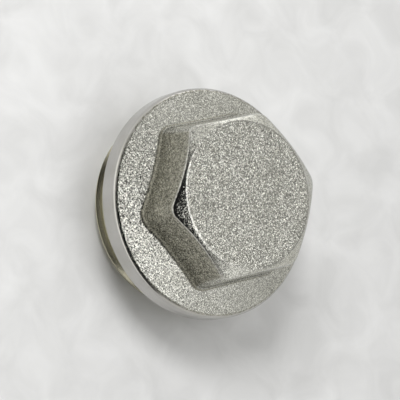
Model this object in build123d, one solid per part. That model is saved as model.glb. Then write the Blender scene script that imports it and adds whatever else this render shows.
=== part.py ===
from build123d import *
import math
import os

# A forged brass plug for a G 1 pipe thread: threaded shank, crowned flange and tapered hexagon in one piece.
# It stands on the end of its shank, the plane z = 0, with its axis upright and the hexagon on top.

# Shank: G 1 parallel pipe thread, 11 turns to the inch; its crests lie on the shank's surface
thread_d = 33.25
thread_depth = 1.48
shank_h = 8.8
lead_in_h = 2.1
relief_w = 1.4
relief_extra = 0.15

# Flange: turned seat and rim, forged conical crown
flange_d = 39.0
rim_h = 3.7
rim_round = 1.2
seat_chamfer = 0.3
crown_rise = 2.7

# Hexagon: width across flats at the height of the crown, forging draft, and a face bevelled round its corners
hex_af = 27.0
hex_draft = 5.4
hex_h = 10.6
hex_corner_r = 2.5
face_d = 24.4
face_bevel = 30.0
edge_round = 0.3
foot_fillet = 0.9

# Hollow: struck from below with draft, so that the wall under the thread and in the hexagon stays even
hollow_d = 24.8
hollow_draft = 5.5
hollow_chamfer = 2.0
face_wall = 5.0

os.makedirs("parts", exist_ok=True)


def draft_shift(length, angle):
    """Sideways shift of a drafted wall over a length."""
    return length * math.tan(math.radians(angle))


thread_r = thread_d / 2
relief_r = thread_r - thread_depth - relief_extra
flange_r = flange_d / 2
face_r = face_d / 2
rim_z = shank_h + rim_h
crown_z = rim_z + crown_rise
face_z = rim_z + hex_h
crown_r = hex_af / 2 - foot_fillet

# Turned shank and flange under the forged crown, as half of their section
with BuildPart() as flange:
    with BuildSketch(Plane.XZ) as section:
        with BuildLine():
            Polyline(
                (crown_r, crown_z),
                (0, crown_z),
                (0, 0),
                (relief_r, 0),
                (thread_r, lead_in_h),
                (thread_r, shank_h - relief_w),
                (relief_r, shank_h - relief_w),
                (relief_r, shank_h),
                (flange_r, shank_h),
                (flange_r, rim_z),
                close=True,
            )
        make_face()
        fillet(section.vertices().group_by(Axis.X)[-1].sort_by(Axis.Y)[-1], rim_round)
        chamfer(section.vertices().group_by(Axis.X)[-1].sort_by(Axis.Y)[0], seat_chamfer)
    revolve(axis=Axis.Z)

# Hexagon with rounded corners, its root inside the crown
with BuildPart() as head:
    with BuildSketch(Plane.XY.offset(rim_z)):
        root_af = hex_af + 2 * draft_shift(crown_rise, hex_draft)
        RegularPolygon(root_af / 2, 6, major_radius=False, rotation=30)
    extrude(amount=hex_h, taper=hex_draft)
    upright_edges = head.edges().group_by(Axis.Z)[1]
    fillet(upright_edges, hex_corner_r)
    with BuildSketch(Plane.XZ):
        with BuildLine():
            Polyline(
                (0, rim_z),
                (flange_r, rim_z),
                (flange_r, face_z - draft_shift(flange_r - face_r, face_bevel)),
                (face_r, face_z),
                (0, face_z),
                close=True,
            )
        make_face()
    revolve(axis=Axis.Z, mode=Mode.INTERSECT)
    bevel = head.faces().filter_by(GeomType.CONE)
    fillet(bevel.edges().filter_by(GeomType.CIRCLE, reverse=True), edge_round)

# Hollow underside, open at the end of the shank
with BuildPart() as hollow:
    hollow_z = face_z - face_wall
    with BuildSketch(Plane.XZ) as section:
        with BuildLine():
            Polyline(
                (0, 0),
                (hollow_d / 2, 0),
                (hollow_d / 2 - draft_shift(hollow_z, hollow_draft), hollow_z),
                (0, hollow_z),
                close=True,
            )
        make_face()
        chamfer(section.vertices().group_by(Axis.Y)[-1].sort_by(Axis.X)[-1], hollow_chamfer)
    revolve(axis=Axis.Z)

# The hexagon grows out of the crown in a fillet
plug_body = flange.part + head.part
foot = new_edges(flange.part, head.part, combined=plug_body)
plug_body = plug_body.fillet(foot_fillet, foot)
plug_body = plug_body - hollow.part

export_step(plug_body, "parts/plug_body.step")
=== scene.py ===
import bpy
import math
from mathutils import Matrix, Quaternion, Vector


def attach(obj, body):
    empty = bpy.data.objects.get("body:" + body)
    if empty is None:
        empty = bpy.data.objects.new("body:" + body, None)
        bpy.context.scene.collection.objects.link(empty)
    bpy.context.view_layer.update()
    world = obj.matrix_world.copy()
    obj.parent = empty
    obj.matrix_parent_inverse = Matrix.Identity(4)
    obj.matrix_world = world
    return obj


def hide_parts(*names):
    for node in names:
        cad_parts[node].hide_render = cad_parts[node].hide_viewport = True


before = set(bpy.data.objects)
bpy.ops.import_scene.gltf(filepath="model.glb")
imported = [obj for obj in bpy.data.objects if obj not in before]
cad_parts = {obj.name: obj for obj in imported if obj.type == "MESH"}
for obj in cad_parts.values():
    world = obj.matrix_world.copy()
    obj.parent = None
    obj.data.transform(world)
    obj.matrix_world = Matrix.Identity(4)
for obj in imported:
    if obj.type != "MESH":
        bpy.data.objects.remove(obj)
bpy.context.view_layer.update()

# Plug: one hot forging of brass, hollow from below, with a drafted hexagon to turn it by. Shank, seat and
# rim are turned and a G 1 pipe thread is cut on the shank; crown, hexagon and hollow keep the blasted
# forging skin. The finished piece is nickel-plated all over.
MM = 0.001
seam_weld = 0.0002 * MM
bpy.ops.object.select_all(action="DESELECT")
plug = bpy.data.objects.new("plug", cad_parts["plug_body"].data.copy())
bpy.context.scene.collection.objects.link(plug)
plug.select_set(True)
bpy.context.view_layer.objects.active = plug
bpy.ops.object.mode_set(mode="EDIT")
bpy.ops.mesh.select_all(action="SELECT")
bpy.ops.mesh.customdata_custom_splitnormals_clear()
bpy.ops.mesh.remove_doubles(threshold=seam_weld)
bpy.ops.object.mode_set(mode="OBJECT")
plug.select_set(False)

# The thread is cut by a tool of the groove's section, led round the shank on a right-hand helix. The section
# is drawn from one point as a V, whose tip is rounded for the root and whose shoulders flare to round the
# crests.
crest_r = 16.625 * MM
thread_pitch = 2.309 * MM
thread_depth = 1.479 * MM
thread_round = 0.317 * MM
thread_flank = math.radians(27.5)
crest_land = 0.12 * MM
flare_rise = 0.012 * MM
flare_spare = 0.005 * MM
tool_reach = 1.0 * MM
point_size = 0.1 * MM
point_weld = 0.001 * MM
pick_gap = 0.01 * MM
tip_r = crest_r - thread_depth / 2 - thread_pitch / 4 / math.tan(thread_flank)
shoulder_r = crest_r + flare_rise
shoulder_w = (shoulder_r - tip_r) * math.tan(thread_flank)
tool_w = (thread_pitch - crest_land) / 2
tool_r = crest_r + tool_reach
section_steps = (
    (shoulder_r - tip_r, shoulder_w),
    (0, tool_w - shoulder_w),
    (tool_r - shoulder_r, 0),
    (0, -2 * tool_w),
    (shoulder_r - tool_r, 0),
    (0, tool_w - shoulder_w),
    (tip_r - shoulder_r, shoulder_w),
)
bpy.ops.mesh.primitive_plane_add(size=point_size, location=(0, 0, 0))
tool = bpy.context.object
tool.name = "thread_tool"
bpy.ops.object.mode_set(mode="EDIT")
bpy.ops.mesh.select_all(action="SELECT")
bpy.ops.mesh.merge(type="CENTER")
bpy.ops.transform.translate(value=(tip_r, 0, 0))
for step_r, step_z in section_steps:
    bpy.ops.mesh.extrude_region_move(TRANSFORM_OT_translate={"value": (step_r, 0, step_z)})
bpy.ops.mesh.select_all(action="SELECT")
bpy.ops.mesh.remove_doubles(threshold=point_weld)
bpy.ops.object.mode_set(mode="OBJECT")


def pick_points(piece, wanted):
    """Selects the points of a piece that wanted names by their place, and no others."""
    piece.data.polygons.foreach_set("select", [False] * len(piece.data.polygons))
    piece.data.edges.foreach_set("select", [False] * len(piece.data.edges))
    piece.data.vertices.foreach_set("select", [wanted(point.co) for point in piece.data.vertices])


pick_points(tool, lambda co: abs(abs(co.z) - shoulder_w) < pick_gap)
bpy.ops.object.mode_set(mode="EDIT")
bpy.ops.mesh.bevel(offset=tool_w - shoulder_w - flare_spare, segments=4, affect="VERTICES")
bpy.ops.object.mode_set(mode="OBJECT")
pick_points(tool, lambda co: co.x < tip_r + pick_gap)
bpy.ops.object.mode_set(mode="EDIT")
bpy.ops.mesh.bevel(offset=thread_round / math.tan(thread_flank), segments=6, affect="VERTICES")
bpy.ops.object.mode_set(mode="OBJECT")

# The tool starts below the end of the shank and stops inside the relief groove, clear of the seat. It is
# turned so that a full crest comes out at the top of the lead-in on the plug's -Y side.
lead_in_z = 2.1 * MM
thread_turns = 4
turn_steps = 128
thread_top_z = 7.62 * MM
thread_start_z = thread_top_z - thread_turns * thread_pitch
groove_z = lead_in_z - thread_pitch / 2
tool.location.z = thread_start_z
tool.rotation_euler.z = math.tau * (thread_start_z - groove_z) / thread_pitch - math.pi / 2
helix = tool.modifiers.new("helix", "SCREW")
helix.axis = "Z"
helix.angle = math.tau
helix.screw_offset = thread_pitch
helix.iterations = thread_turns
helix.steps = turn_steps
helix.render_steps = turn_steps
helix.use_merge_vertices = False
bpy.ops.object.modifier_apply(modifier="helix")

# Over the last part of its way the tool is drawn out of the shank, so that the groove runs out.
run_out_steps = 28
run_out_rise = 1.75 * MM
angle_gap = 0.02
for drawn in range(1, run_out_steps + 1):
    step = thread_turns * turn_steps - run_out_steps + drawn
    step_angle = math.tau * step / turn_steps
    step_z = thread_pitch * step / turn_steps
    pick_points(
        tool,
        lambda co: abs(math.remainder(math.atan2(co.y, co.x) - step_angle, math.tau)) < angle_gap
        and co.z > step_z - thread_pitch / 2,
    )
    wider = 1 + run_out_rise / tip_r * (drawn / run_out_steps) ** 2
    bpy.ops.object.mode_set(mode="EDIT")
    bpy.ops.transform.resize(value=(wider, wider, 1), center_override=(0, 0, 0))
    bpy.ops.object.mode_set(mode="OBJECT")
bpy.ops.object.mode_set(mode="EDIT")
bpy.ops.mesh.select_all(action="SELECT")
bpy.ops.mesh.fill_holes(sides=0)
bpy.ops.mesh.select_all(action="SELECT")
bpy.ops.mesh.normals_make_consistent(inside=False)
bpy.ops.object.mode_set(mode="OBJECT")

# The border between the round flat of the hexagon and its bevel is slightly rolled: the flat is joined to
# one face and inset, and its old border slides down the bevel by as much.
face_z = 23.1 * MM
face_r = 12.2 * MM
face_gap = 0.002 * MM
bevel_slope = math.tan(math.radians(30))
roll_w = 0.13 * MM
roll_r = face_r + roll_w
roll_z = face_z - roll_w * bevel_slope
bpy.ops.object.select_all(action="DESELECT")
plug.select_set(True)
bpy.context.view_layer.objects.active = plug
pick_points(plug, lambda co: abs(co.z - face_z) < face_gap)
bpy.ops.object.mode_set(mode="EDIT")
bpy.ops.mesh.dissolve_faces()
bpy.ops.mesh.inset(thickness=roll_w)
bpy.ops.object.mode_set(mode="OBJECT")
pick_points(plug, lambda co: abs(co.z - face_z) < face_gap and co.xy.length > face_r - roll_w / 2)
bpy.ops.object.mode_set(mode="EDIT")
bpy.ops.transform.resize(value=(roll_r / face_r, roll_r / face_r, 1), center_override=(0, 0, 0))
bpy.ops.transform.translate(value=(0, 0, roll_z - face_z))
bpy.ops.object.mode_set(mode="OBJECT")

# The tool now cuts the shank. The mesh is welded and made of triangles, and it is shaded smooth up to the
# crease angle, with the lower edge of the rolled border kept sharp.
crease_angle = math.radians(28)
thread_cut = plug.modifiers.new("thread", "BOOLEAN")
thread_cut.operation = "DIFFERENCE"
thread_cut.solver = "EXACT"
thread_cut.object = tool
bpy.ops.object.modifier_apply(modifier="thread")
bpy.data.meshes.remove(tool.data)
bpy.ops.object.mode_set(mode="EDIT")
bpy.ops.mesh.select_all(action="SELECT")
bpy.ops.mesh.remove_doubles(threshold=point_weld)
bpy.ops.mesh.quads_convert_to_tris(quad_method="BEAUTY", ngon_method="BEAUTY")
bpy.ops.object.mode_set(mode="OBJECT")
bpy.ops.object.shade_smooth_by_angle(angle=crease_angle)
pick_points(plug, lambda co: abs(co.z - roll_z) < pick_gap / 2 and abs(co.xy.length - roll_r) < pick_gap)
bpy.ops.object.mode_set(mode="EDIT")
bpy.ops.mesh.mark_sharp()
bpy.ops.object.mode_set(mode="OBJECT")
even = plug.modifiers.new("even_shading", "WEIGHTED_NORMAL")
even.mode = "FACE_AREA"
even.weight = 50
even.keep_sharp = True
bpy.ops.object.modifier_apply(modifier="even_shading")


# Finish of the plug, nickel over two kinds of surface. The forging skin on crown, hexagon and hollow is
# blasted and sparkles in grains of about 0.1 mm. Below the crown's rounded edge the metal is turned, with
# fine rings round the axis.
def add_node(tree, kind, feeds=(), **settings):
    """Adds a node to a material or world, sets its options and feeds its inputs, by name or number."""
    made = tree.nodes.new(kind)
    for option, value in settings.items():
        setattr(made, option, value)
    for socket, source in dict(feeds).items():
        if isinstance(source, bpy.types.NodeSocket):
            tree.links.new(source, made.inputs[socket])
        else:
            made.inputs[socket].default_value = source
    return made


def reckon(tree, operation, *values):
    """Reckons with numbers."""
    return add_node(tree, "ShaderNodeMath", enumerate(values), operation=operation).outputs[0]


def reckon_vector(tree, operation, *values):
    """Reckons with vectors; a length or a dot product comes out as a number."""
    made = add_node(tree, "ShaderNodeVectorMath", enumerate(values), operation=operation)
    return made.outputs["Value" if operation in ("LENGTH", "DOT_PRODUCT") else "Vector"]


def scale_vector(tree, vector, factor):
    """Makes a vector longer or shorter by a factor."""
    return add_node(tree, "ShaderNodeVectorMath", {0: vector, "Scale": factor}, operation="SCALE").outputs[0]


def run_between(tree, value, start, end, low=0.0, high=1.0, soft=False):
    """Runs from low to high while a value goes from start to end, evenly or softly, and holds beyond them."""
    return add_node(
        tree, "ShaderNodeMapRange", {"Value": value, 1: start, 2: end, 3: low, 4: high},
        interpolation_type="SMOOTHSTEP" if soft else "LINEAR",
    ).outputs[0]


def add_noise(tree, where, scale, detail, roughness=0.5, distortion=0.0):
    """Cloudy noise from 0 to 1."""
    return add_node(
        tree, "ShaderNodeTexNoise",
        {"Vector": where, "Scale": scale, "Detail": detail, "Roughness": roughness, "Distortion": distortion},
    ).outputs[0]


def add_cells(tree, where, scale):
    """Small cells that fill the surface, each with a colour drawn at random."""
    return add_node(tree, "ShaderNodeTexVoronoi", {"Vector": where, "Scale": scale}).outputs["Color"]


def first_channel(tree, colour):
    """The first channel of a colour, as a number from 0 to 1."""
    return add_node(tree, "ShaderNodeSeparateColor", {0: colour}).outputs[0]


def add_bump(tree, distance, relief, under):
    """Lets a relief of a given depth tilt the normal under it."""
    return add_node(
        tree, "ShaderNodeBump", {"Strength": 1.0, "Distance": distance, "Height": relief, "Normal": under},
    ).outputs[0]


def mix_colours(tree, share, first, second, blend="MIX"):
    """Blends a share of the second colour into the first."""
    return add_node(
        tree, "ShaderNodeMix", {0: share, 6: first, 7: second}, data_type="RGBA", blend_type=blend,
    ).outputs[2]


def patch_colour(tree, clouds, first, second):
    """Turns cloudy noise into patches of two tones that run into each other."""
    made = add_node(tree, "ShaderNodeValToRGB", {"Fac": clouds})
    for stop, position, tone in zip(made.color_ramp.elements, (0.3, 0.7), (first, second)):
        stop.position = position
        stop.color = (*tone, 1)
    return made.outputs[0]


nickel = bpy.data.materials.new("nickelled_brass")
nickel.use_nodes = True
tree = nickel.node_tree
shader = tree.nodes["Principled BSDF"]
shader.inputs["Metallic"].default_value = 1.0
place = add_node(tree, "ShaderNodeTexCoord").outputs["Object"]
height = add_node(tree, "ShaderNodeSeparateXYZ", {0: place}).outputs["Z"]
radius = reckon_vector(tree, "LENGTH", reckon_vector(tree, "MULTIPLY", place, (1, 1, 0)))
smooth_normal = add_node(tree, "ShaderNodeNewGeometry").outputs["Normal"]
facing = add_node(tree, "ShaderNodeSeparateXYZ", {0: smooth_normal})
facing_up = facing.outputs["Z"]

# Where the skin was turned away: its border lies on the flange's rounded edge and is ragged, because the
# forging is uneven. The hollow keeps its skin up to its turned mouth.
border_top = 12.68 * MM
border_w = 0.08 * MM
border_ragged = 0.18 * MM
hollow_skin_r = 12.5 * MM
border_noise = add_noise(tree, place, 2200.0, 2.0)
wander = run_between(tree, border_noise, 0.25, 0.75, -border_ragged, border_ragged)
border_z = reckon(tree, "ADD", height, wander)
skin_top = run_between(tree, border_z, border_top - border_w, border_top, soft=True)
skin_hollow = run_between(tree, radius, hollow_skin_r + 0.1 * MM, hollow_skin_r, soft=True)
skin = reckon(tree, "MAXIMUM", skin_top, skin_hollow)

# Edges of the hexagon's front, where handling wears the grain smooth and bright: a narrow band along the
# border between the bevel and the flats, and another along the rolled border of the round flat.
crown_z = 15.2 * MM
half_flats = 13.5 * MM
flat_slope = math.tan(math.radians(5.4))
bevel_w = 3.0 * MM
reach = 0.0
for flat_normal in ((1, 0, 0), (0.5, 0.8660, 0), (-0.5, 0.8660, 0)):
    flat_distance = reckon(tree, "ABSOLUTE", reckon_vector(tree, "DOT_PRODUCT", place, flat_normal))
    reach = reckon(tree, "MAXIMUM", reach, flat_distance)
front_reach = half_flats - (face_z - crown_z) * flat_slope
flat_reach = run_between(tree, height, crown_z, face_z, half_flats, front_reach)
inside = reckon(tree, "SUBTRACT", flat_reach, reach)
near_flat = run_between(tree, inside, 0.5 * MM, 0.2 * MM, soft=True)
bevel_z = run_between(tree, radius, face_r, face_r + bevel_w, face_z, face_z - bevel_w * bevel_slope)
below = reckon(tree, "SUBTRACT", bevel_z, height)
near_bevel = run_between(tree, below, 0.4 * MM, 0.1 * MM, high=0.5, soft=True)
worn_edge = reckon(tree, "MULTIPLY", near_flat, near_bevel)
roll_off = reckon(tree, "ABSOLUTE", reckon(tree, "SUBTRACT", radius, face_r))
near_roll = run_between(tree, roll_off, 0.2 * MM, 0.1 * MM, high=0.4, soft=True)
near_face = run_between(tree, height, face_z - 0.2 * MM, face_z - 0.15 * MM)
worn_roll = reckon(tree, "MULTIPLY", near_roll, near_face)
scuffed = run_between(tree, add_noise(tree, place, 1800.0, 2.0), 0.4, 0.55, 0.25, 1.0)
worn = reckon(tree, "MULTIPLY", reckon(tree, "MAXIMUM", worn_edge, worn_roll), scuffed)

# Blasted grain: every grain is a small facet that leans its own way, on a slightly uneven forged surface. It
# is deepest on the hexagon's sides and shallow on its bevel, on the flange's rounded edge and where it is
# worn.
bevel_foot_z = 21.2 * MM
rim_round_z = 13.1 * MM
most_lean = 0.5
grain_depth = 0.03 * MM
open_face = run_between(tree, facing_up, 0.1, 0.6, 1.2, 1.0, soft=True)
unworn = run_between(tree, worn, 0.0, 1.0, 1.0, 0.25)
near_front = run_between(tree, height, bevel_foot_z, bevel_foot_z + 0.2 * MM)
off_face = run_between(tree, facing_up, 0.98, 0.94, high=0.5)
near_rim = run_between(tree, height, rim_round_z, rim_round_z - 0.1 * MM)
off_crown = run_between(tree, facing_up, 0.925, 0.895, high=0.5)
on_bevel = reckon(tree, "MULTIPLY", near_front, off_face)
on_rim = reckon(tree, "MULTIPLY", near_rim, off_crown)
off_edge = reckon(tree, "SUBTRACT", 1.0, reckon(tree, "MAXIMUM", on_bevel, on_rim))
struck = reckon(tree, "MULTIPLY", open_face, off_edge)
grained = reckon(tree, "MULTIPLY", reckon(tree, "MULTIPLY", struck, unworn), skin)
lean = reckon_vector(tree, "SUBTRACT", add_cells(tree, place, 9000.0), (0.5, 0.5, 0.5))
lean_skin = scale_vector(tree, lean, reckon(tree, "MULTIPLY", grained, most_lean))
facet_sum = reckon_vector(tree, "ADD", smooth_normal, lean_skin)
facet_normal = reckon_vector(tree, "NORMALIZE", facet_sum)
grain = add_noise(tree, place, 5500.0, 1.0)
uneven = add_noise(tree, place, 700.0, 2.0)
skin_relief = reckon(tree, "MULTIPLY_ADD", uneven, 0.8, grain)
skin_height = reckon(tree, "MULTIPLY", skin_relief, grained)
skin_bump = add_bump(tree, grain_depth, skin_height, facet_normal)

# Turning marks: rings round the axis, which change only with the radius and the height.
ring_depth = 0.006 * MM
ring_place = add_node(tree, "ShaderNodeCombineXYZ", {0: radius, 1: height}).outputs[0]
rings = add_noise(tree, ring_place, 5200.0, 3.0, roughness=0.7)
ring_height = reckon(tree, "MULTIPLY", rings, reckon(tree, "SUBTRACT", 1.0, skin))
ring_bump = add_bump(tree, ring_depth, ring_height, skin_bump)
tree.links.new(ring_bump, shader.inputs["Normal"])

# Colour: grey nickel with a breath of yellow, in patches of two tones, and thin enough on the thread for the
# brass to show through.
thin_start_z = 8.6 * MM
thin_end_z = 7.4 * MM
thin_colour = (0.45, 0.43, 0.33, 1)
patches = add_noise(tree, place, 260.0, 4.0, roughness=0.6)
skin_colour = patch_colour(tree, patches, (0.50, 0.497, 0.45), (0.56, 0.557, 0.515))
turned_colour = patch_colour(tree, patches, (0.46, 0.45, 0.42), (0.51, 0.50, 0.485))
thin_plating = run_between(tree, height, thin_start_z, thin_end_z, soft=True)
shank_colour = mix_colours(tree, thin_plating, turned_colour, thin_colour)
metal_colour = mix_colours(tree, skin, shank_colour, skin_colour)

# Painted shade: the skin is darker and browner in the hollow, on the hexagon's sides and in the fillet at
# their foot, but not on the two flats that face X, which stay lighter as a painted highlight along the
# hexagon's top edge. Grain by grain it is lighter or darker, most of all on steep sides.
foot_z = 16.6 * MM
painted_shade_tone = (0.315, 0.306, 0.253, 1)
worn_tone = (0.60, 0.592, 0.565, 1)
# Painted shade: steep sides and the fillet at their foot get a darker, browner tone in the colour.
steep = run_between(tree, facing_up, 0.45, 0.15, soft=True)
at_foot = run_between(tree, height, foot_z + 0.8 * MM, foot_z)
in_fillet = run_between(tree, facing_up, 0.92, 0.82)
foot = reckon(tree, "MULTIPLY", at_foot, in_fillet)
shade_places = reckon(tree, "MAXIMUM", steep, foot)
# The painted shade is mostly left off the two flats that face X, which stay lighter as a painted highlight.
sideways = reckon(tree, "ABSOLUTE", facing.outputs["X"])
shade_but_x_flats = run_between(tree, sideways, 0.62, 0.8, 1.0, 0.1)
shade_but_x_flats_or_hollow = reckon(tree, "MAXIMUM", shade_but_x_flats, skin_hollow)
painted_shade = reckon(tree, "MULTIPLY", reckon(tree, "MULTIPLY", shade_places, shade_but_x_flats_or_hollow), skin)
shaded_colour = mix_colours(tree, painted_shade, metal_colour, painted_shade_tone)
speckle = first_channel(tree, add_cells(tree, place, 7800.0))
speckle_tone = run_between(tree, speckle, 0.0, 1.0, 0.64, 1.36)
blotch = first_channel(tree, add_cells(tree, place, 4600.0))
blotch_off = reckon(tree, "SUBTRACT", blotch, 0.5)
blotch_much = reckon(tree, "MULTIPLY", steep, 0.9)
grain_tone = reckon(tree, "MULTIPLY_ADD", blotch_off, blotch_much, speckle_tone)
# Painted shade: the fillet at the foot of the sides is darkened once more, by a fifth.
foot_shade = run_between(tree, foot, 0.0, 1.0, 1.0, 0.8)
grain_and_shade_tone = reckon(tree, "MULTIPLY", grain_tone, foot_shade)
speckled_colour = mix_colours(tree, skin, shaded_colour, grain_and_shade_tone, blend="MULTIPLY")
colour = mix_colours(tree, worn, speckled_colour, worn_tone)
tree.links.new(colour, shader.inputs["Base Color"])

# Gloss: the facets of the skin are bright each for itself, the turned metal is satin.
skin_gloss = run_between(tree, grain, 0.3, 0.7, 0.10, 0.18)
turned_gloss = run_between(tree, rings, 0.3, 0.7, 0.15, 0.24)
gloss = add_node(tree, "ShaderNodeMix", {0: skin, 2: turned_gloss, 3: skin_gloss}).outputs[0]
tree.links.new(gloss, shader.inputs["Roughness"])

plug.data.materials.clear()
plug.data.materials.append(nickel)
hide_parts("plug_body")
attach(plug, "root")

# Floor: a slab of pale, matt, faintly mottled stone, sawn flat. It is far larger than the plug that stands
# on it.
bpy.ops.mesh.primitive_plane_add(size=3.0, location=(0, 0, 0))
floor = bpy.context.object
floor.name = "floor"
slab = bpy.data.materials.new("pale_slab")
slab.use_nodes = True
tree = slab.node_tree
shader = tree.nodes["Principled BSDF"]
shader.inputs["Roughness"].default_value = 0.7
shader.inputs["Specular IOR Level"].default_value = 0.15
place = add_node(tree, "ShaderNodeTexCoord").outputs["Object"]
mottling = add_noise(tree, place, 120.0, 4.0, distortion=0.8)
slab_colour = patch_colour(tree, mottling, (0.62, 0.62, 0.618), (0.72, 0.72, 0.72))
tree.links.new(slab_colour, shader.inputs["Base Color"])
floor.data.materials.append(slab)

# Light: soft boxes in a grey room, as metal is lit in a studio. There are a round panel overhead, a strong
# and a weak box at the sides, a small one at the near corner, a pale wall and, low on the camera's side
# (-Y), a bright window; a dark gap and a black flag between them draw the dark lines.
room_tone = (1.0, 0.995, 0.95)
flag_level = 0.02
studio = bpy.data.worlds.new("studio")
bpy.context.scene.world = studio
studio.use_nodes = True
tree = studio.node_tree
background = tree.nodes["Background"]
aim = add_node(tree, "ShaderNodeTexCoord").outputs["Generated"]
aim_split = add_node(tree, "ShaderNodeSeparateXYZ", {0: aim})


def aim_along(direction):
    """How far a line of sight points along a direction, from -1 to 1."""
    return reckon_vector(tree, "DOT_PRODUCT", aim, Vector(direction).normalized())


def soft_box(towards, half_width, edge, level):
    """Light of one soft box round a direction: its half width and soft edge in degrees, and its level."""
    outer = math.cos(math.radians(half_width + edge))
    inner = math.cos(math.radians(half_width - edge))
    return run_between(tree, aim_along(towards), outer, inner, high=level, soft=True)


panel = soft_box((0.035, 0.03, 1.0), 24.5, 2.5, 1.7)
near_box = soft_box((0.72, 0.26, 0.64), 14.0, 6.0, 0.95)
far_box = soft_box((-0.74, 0.14, 0.66), 12.0, 4.0, 0.65)
wall = soft_box((-0.81, 0.56, 0.12), 17.0, 6.0, 0.85)
corner_box = soft_box((0.45, -0.24, 0.86), 8.0, 3.0, 1.1)
boxes = panel
for box in (near_box, far_box, wall, corner_box):
    boxes = reckon(tree, "ADD", boxes, box)
gap = soft_box((0.62, 0.02, 0.78), 12.0, 4.0, 0.9)
room_walls = run_between(tree, aim_split.outputs["X"], -0.15, -0.6, 0.365, 0.45, soft=True)
room = reckon(tree, "MULTIPLY", room_walls, reckon(tree, "SUBTRACT", 1.0, gap))
horizon = run_between(tree, aim_split.outputs["Z"], 0.45, 0.15, high=0.52, soft=True)
low = run_between(tree, aim_split.outputs["Z"], 0.4, 0.3, soft=True)
front = run_between(tree, aim_split.outputs["Y"], -0.4, -0.7, high=0.7, soft=True)
window = reckon(tree, "MULTIPLY", low, front)
room_level = reckon(tree, "ADD", room, reckon(tree, "ADD", horizon, window))
room_light = scale_vector(tree, room_tone, room_level)
open_light = reckon_vector(tree, "ADD", room_light, boxes)
flag_width = run_between(tree, aim_along((-0.22, -0.976, 0.0)), 0.18, 0.24, soft=True)
flag_height = run_between(tree, aim_along((0.35, 0.0, 0.937)), 0.33, 0.45, soft=True)
flag_cover = reckon(tree, "MULTIPLY", flag_width, flag_height)
flag = run_between(tree, flag_cover, 0.0, 1.0, 1.0, flag_level)
studio_light = scale_vector(tree, open_light, flag)
tree.links.new(studio_light, background.inputs["Color"])
background.inputs["Strength"].default_value = 1.0

# Key light: a square lamp above the -X, -Y side, kept out of the metal's reflections. So it lights the floor
# alone and throws the plug's shadow there.
key_data = bpy.data.lights.new("key", "AREA")
key_data.shape = "SQUARE"
key_data.size = 0.13
key_data.energy = 1.0
key = bpy.data.objects.new("key", key_data)
bpy.context.scene.collection.objects.link(key)
key.location = (-0.215, -0.14, 0.30)
key.rotation_euler = Vector(key.location).to_track_quat("Z", "Y").to_euler()
key.visible_glossy = False

# Camera: it looks down from the -Y side, rolled so that the plug's axis leans as in the photograph.
camera_rise = math.radians(55.17)
camera_roll = math.radians(77.67)
camera_distance = 390 * MM
target = Vector((0, 0, 12.4 * MM))
shift_left = 2.03 * MM
shift_up = 0.42 * MM
camera_data = bpy.data.cameras.new("camera")
camera_data.sensor_width = 36.0
camera_data.lens = 209.3
camera_data.clip_start = 0.01
camera = bpy.data.objects.new("camera", camera_data)
bpy.context.scene.collection.objects.link(camera)
back = Vector((0, -math.cos(camera_rise), math.sin(camera_rise)))
turn = back.to_track_quat("Z", "Y") @ Quaternion((0, 0, 1), camera_roll)
right = turn @ Vector((1, 0, 0))
up = turn @ Vector((0, 1, 0))
camera.rotation_euler = turn.to_euler()
camera.location = target + camera_distance * back - shift_left * right + shift_up * up
bpy.context.scene.camera = camera
bpy.context.scene.view_settings.view_transform = "Standard"
